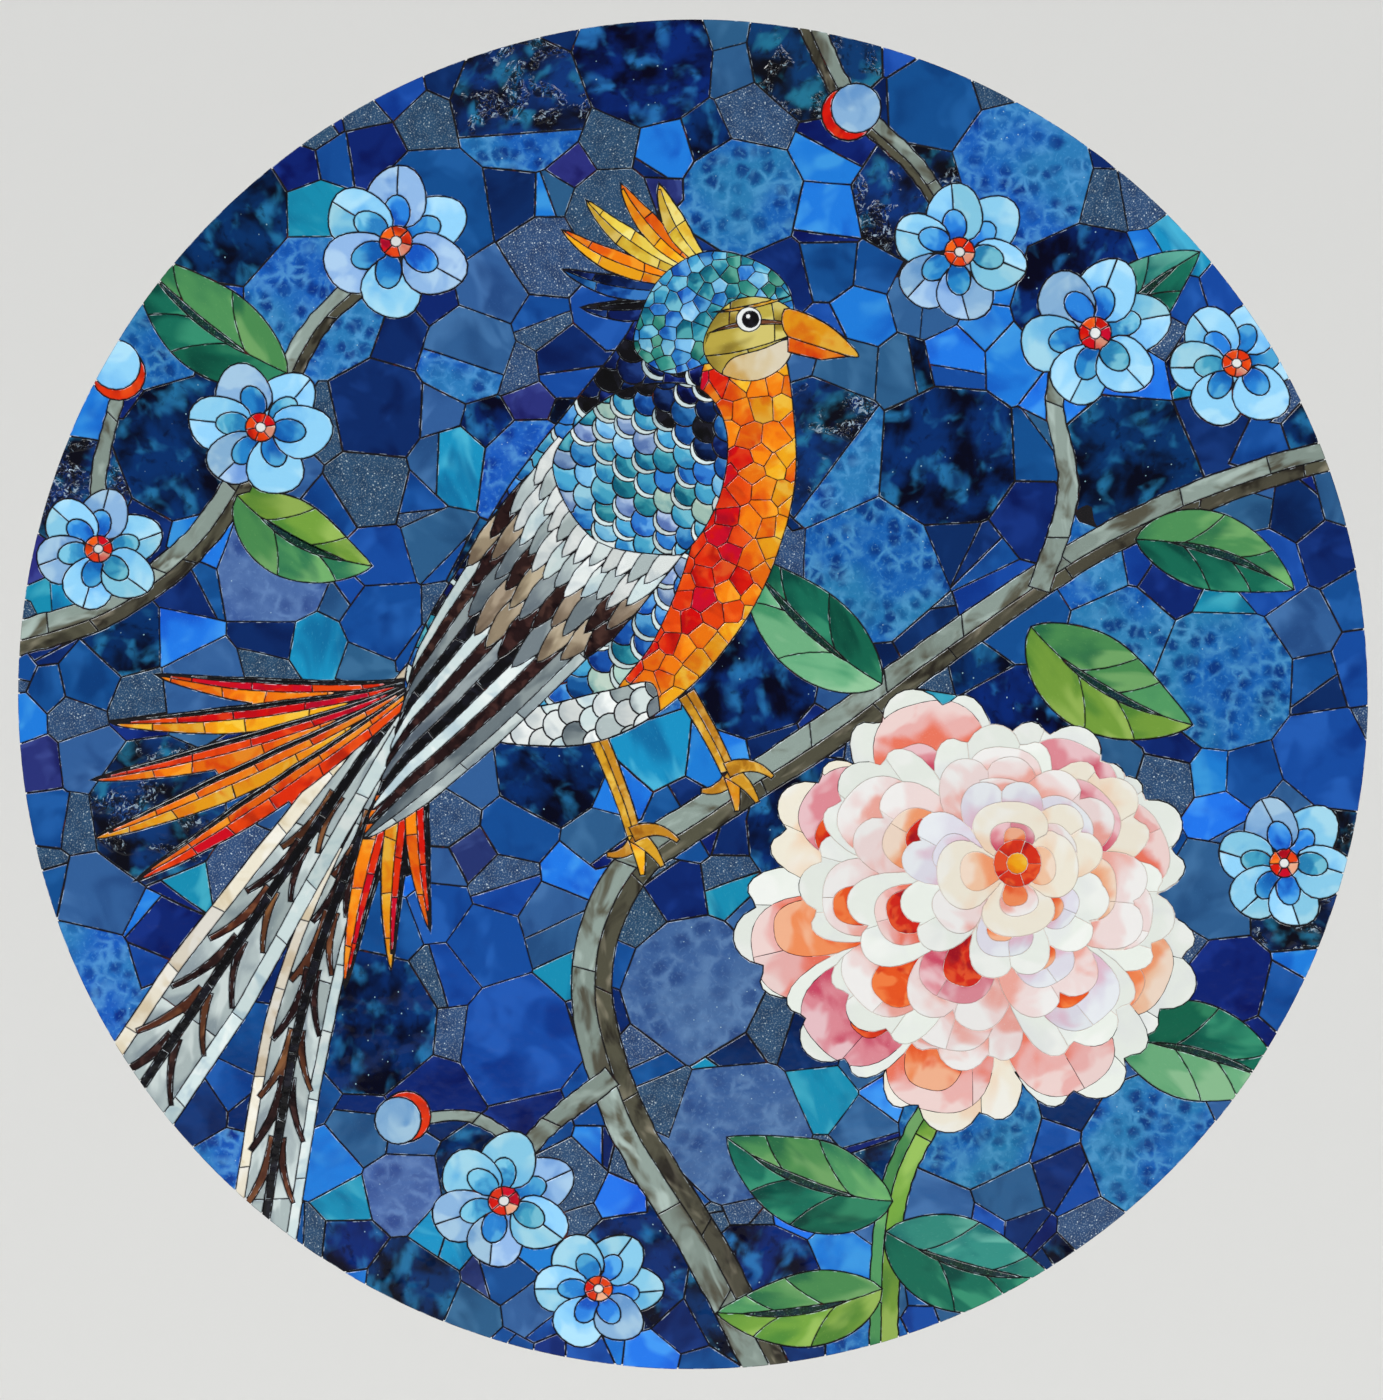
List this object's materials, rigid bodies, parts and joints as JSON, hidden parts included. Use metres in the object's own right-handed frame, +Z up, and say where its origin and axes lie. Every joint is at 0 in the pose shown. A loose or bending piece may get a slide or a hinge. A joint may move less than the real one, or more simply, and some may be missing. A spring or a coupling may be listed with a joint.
{
  "type": "mosaic_panel",
  "caption": "Round wall panel of hand-cut glass mosaic: a crested long-tailed bird on a branch with a large rosette flower on blue.",
  "frame": {"origin": "middle of the back face of the backing board, which lies against the wall", "axes": "+X to the right, +Z up, the glass faces -Y; the back face is the plane y = 0 and faces +Y"},
  "size_m": [0.8, 0.018, 0.8],
  "materials": {
    "cement_board": "fibre-cement board, matt",
    "dark_grout": "black-brown cement adhesive and grout, matt and grainy",
    "ground_glass": "mixed blue art glass: mottled, wispy, rippled and opaque, polished faces",
    "branch_glass": "grey-green and brown marbled opaque glass, polished",
    "leaf_glass": "streaky green opaque glass, polished",
    "blossom_glass": "sky blue opaque glass with red centres, polished",
    "bud_glass": "red and sky blue opaque glass, polished",
    "flower_glass": "white, pink and coral opaque glass, polished",
    "tail_glass": "silver-grey streaky glass with dark bars, polished",
    "plume_glass": "red, orange and amber opaque glass, polished",
    "leg_glass": "ochre opaque glass, polished",
    "blue_feather_glass": "blue and teal opaque glass scales, polished",
    "breast_glass": "red to amber opaque glass, polished",
    "pale_feather_glass": "white and grey opaque glass, polished",
    "flight_feather_glass": "black and silver-grey glass, polished",
    "covert_glass": "white, grey and tan opaque glass, polished",
    "crest_glass": "gold and amber opaque glass, polished",
    "head_glass": "teal and sky blue opaque glass, polished",
    "face_glass": "olive and cream opaque glass, polished",
    "beak_glass": "amber opaque glass, polished"
  },
  "bodies": {
    "root": {"backing_board": "cement_board", "bird_back_part_1": "blue_feather_glass", "bird_back_part_2": "blue_feather_glass", "bird_beak": "beak_glass", "bird_belly": "pale_feather_glass", "bird_breast": "breast_glass", "bird_crest": "crest_glass", "bird_face": "face_glass", "bird_head": "head_glass", "blossom_1": "blossom_glass", "blossom_2": "blossom_glass", "blossom_3": "blossom_glass", "blossom_4": "blossom_glass", "blossom_5": "blossom_glass", "blossom_6": "blossom_glass", "blossom_7": "blossom_glass", "blossom_8": "blossom_glass", "blossom_9": "blossom_glass", "branch_left_part_1": "branch_glass", "branch_left_part_2": "branch_glass", "branch_main_part_1": "branch_glass", "branch_main_part_2": "branch_glass", "branch_top_part_1": "branch_glass", "branch_top_part_2": "branch_glass", "bud_1": "bud_glass", "bud_2": "bud_glass", "bud_3": "bud_glass", "flower": "flower_glass", "flower_stem": "branch_glass", "ground_part_1": "ground_glass", "ground_part_10": "ground_glass", "ground_part_11": "ground_glass", "ground_part_2": "ground_glass", "ground_part_3": "ground_glass", "ground_part_4": "ground_glass", "ground_part_5": "ground_glass", "ground_part_6": "ground_glass", "ground_part_7": "ground_glass", "ground_part_8": "ground_glass", "ground_part_9": "ground_glass", "leaf_1": "leaf_glass", "leaf_10": "leaf_glass", "leaf_2": "leaf_glass", "leaf_3": "leaf_glass", "leaf_4": "leaf_glass", "leaf_5": "leaf_glass", "leaf_6": "leaf_glass", "leaf_7": "leaf_glass", "leaf_8": "leaf_glass", "leaf_9": "leaf_glass", "leg_far": "leg_glass", "leg_near": "leg_glass", "setting_bed": "dark_grout", "tail_feather_1": "tail_glass", "tail_feather_2": "tail_glass", "tail_plumes_part_1": "plume_glass", "tail_plumes_part_2": "plume_glass", "wing_coverts": "covert_glass", "wing_flight_feathers": "flight_feather_glass", "wing_shoulder": "blue_feather_glass"}
  },
  "joints": []
}
